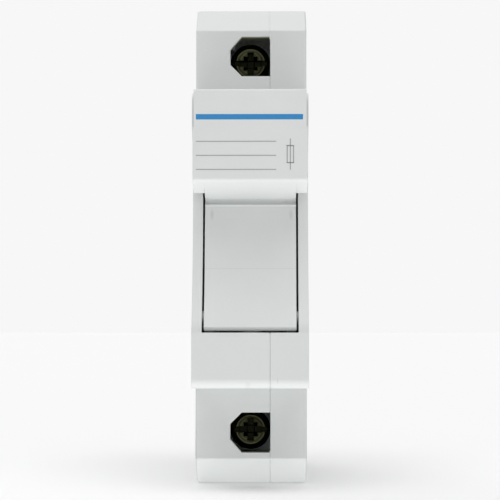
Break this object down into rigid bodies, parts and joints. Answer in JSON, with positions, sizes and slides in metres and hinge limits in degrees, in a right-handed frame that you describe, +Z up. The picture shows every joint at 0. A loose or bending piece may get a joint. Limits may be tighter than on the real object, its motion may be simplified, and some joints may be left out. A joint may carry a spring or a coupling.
{
  "type": "fuse holder",
  "caption": "One-module rail-mounted fuse holder with a swinging carrier for a cylindrical fuse, lifting-clamp terminals and a spring-held rail clip.",
  "frame": {"origin": "middle of the flat face at the back that lies on the rail", "axes": "+X right as seen from the front, +Y back towards the rail, +Z up; the front faces -Y"},
  "size_m": [0.0176, 0.0672, 0.076],
  "materials": {
    "housing_plastic": "light grey moulded plastic, fine satin",
    "fuse_ceramic": "off-white ceramic",
    "silvered_copper": "silver plated",
    "spring_steel": "bright spring steel",
    "zinc_plating": "zinc plated",
    "yellow_passivation": "zinc plated, yellow passivated",
    "clip_plastic": "light grey moulded plastic, satin"
  },
  "bodies": {
    "housing": {"housing_main": "housing_plastic", "housing_cover": "housing_plastic", "upper_contact": "silvered_copper", "lower_contact": "silvered_copper", "upper_contact_spring": "spring_steel", "lower_contact_spring": "spring_steel", "rail_clip_spring": "spring_steel", "rivet_front_upper": "zinc_plating", "rivet_front_lower": "zinc_plating", "rivet_rear_upper": "zinc_plating", "rivet_rear_lower": "zinc_plating", "rivet_middle": "zinc_plating"},
    "carrier": {"fuse_carrier": "housing_plastic", "fuse_tube": "fuse_ceramic", "fuse_cap_upper": "silvered_copper", "fuse_cap_lower": "silvered_copper"},
    "clip": {"rail_clip": "clip_plastic"},
    "upper_screw": {"upper_terminal_screw": "yellow_passivation"},
    "lower_screw": {"lower_terminal_screw": "yellow_passivation"},
    "upper_cage": {"upper_terminal_cage": "zinc_plating"},
    "lower_cage": {"lower_terminal_cage": "zinc_plating"}
  },
  "joints": [
    {"name": "carrier_swing", "type": "hinge", "parent": "housing", "child": "carrier", "pos_m": [0, -0.0576, -0.0118], "axis": [1, 0, 0], "range_deg": [0, 90]},
    {"name": "upper_screw_turn", "type": "hinge", "parent": "housing", "child": "upper_screw", "pos_m": [-0.00017, -0.0375, 0.0296], "axis": [0, 1, 0], "range_deg": [0, 1801]},
    {"name": "upper_cage_lift", "type": "slide", "parent": "housing", "child": "upper_cage", "axis": [0, -1, 0], "range_m": [0, 0.004]},
    {"name": "lower_screw_turn", "type": "hinge", "parent": "housing", "child": "lower_screw", "pos_m": [-0.00017, -0.0375, -0.0296], "axis": [0, 1, 0], "range_deg": [0, 1801]},
    {"name": "lower_cage_lift", "type": "slide", "parent": "housing", "child": "lower_cage", "axis": [0, -1, 0], "range_m": [0, 0.004]},
    {"name": "rail_clip_slide", "type": "slide", "parent": "housing", "child": "clip", "axis": [0, 0, -1], "range_m": [0, 0.0032], "stiffness_N_per_m": 1500, "springref_m": -0.002, "deforming": ["rail_clip_spring"]}
  ],
  "couplings": [
    {"joint": "upper_screw_turn", "follows": "upper_cage_lift", "rad_per_m": 7854},
    {"joint": "lower_screw_turn", "follows": "lower_cage_lift", "rad_per_m": 7854}
  ]
}
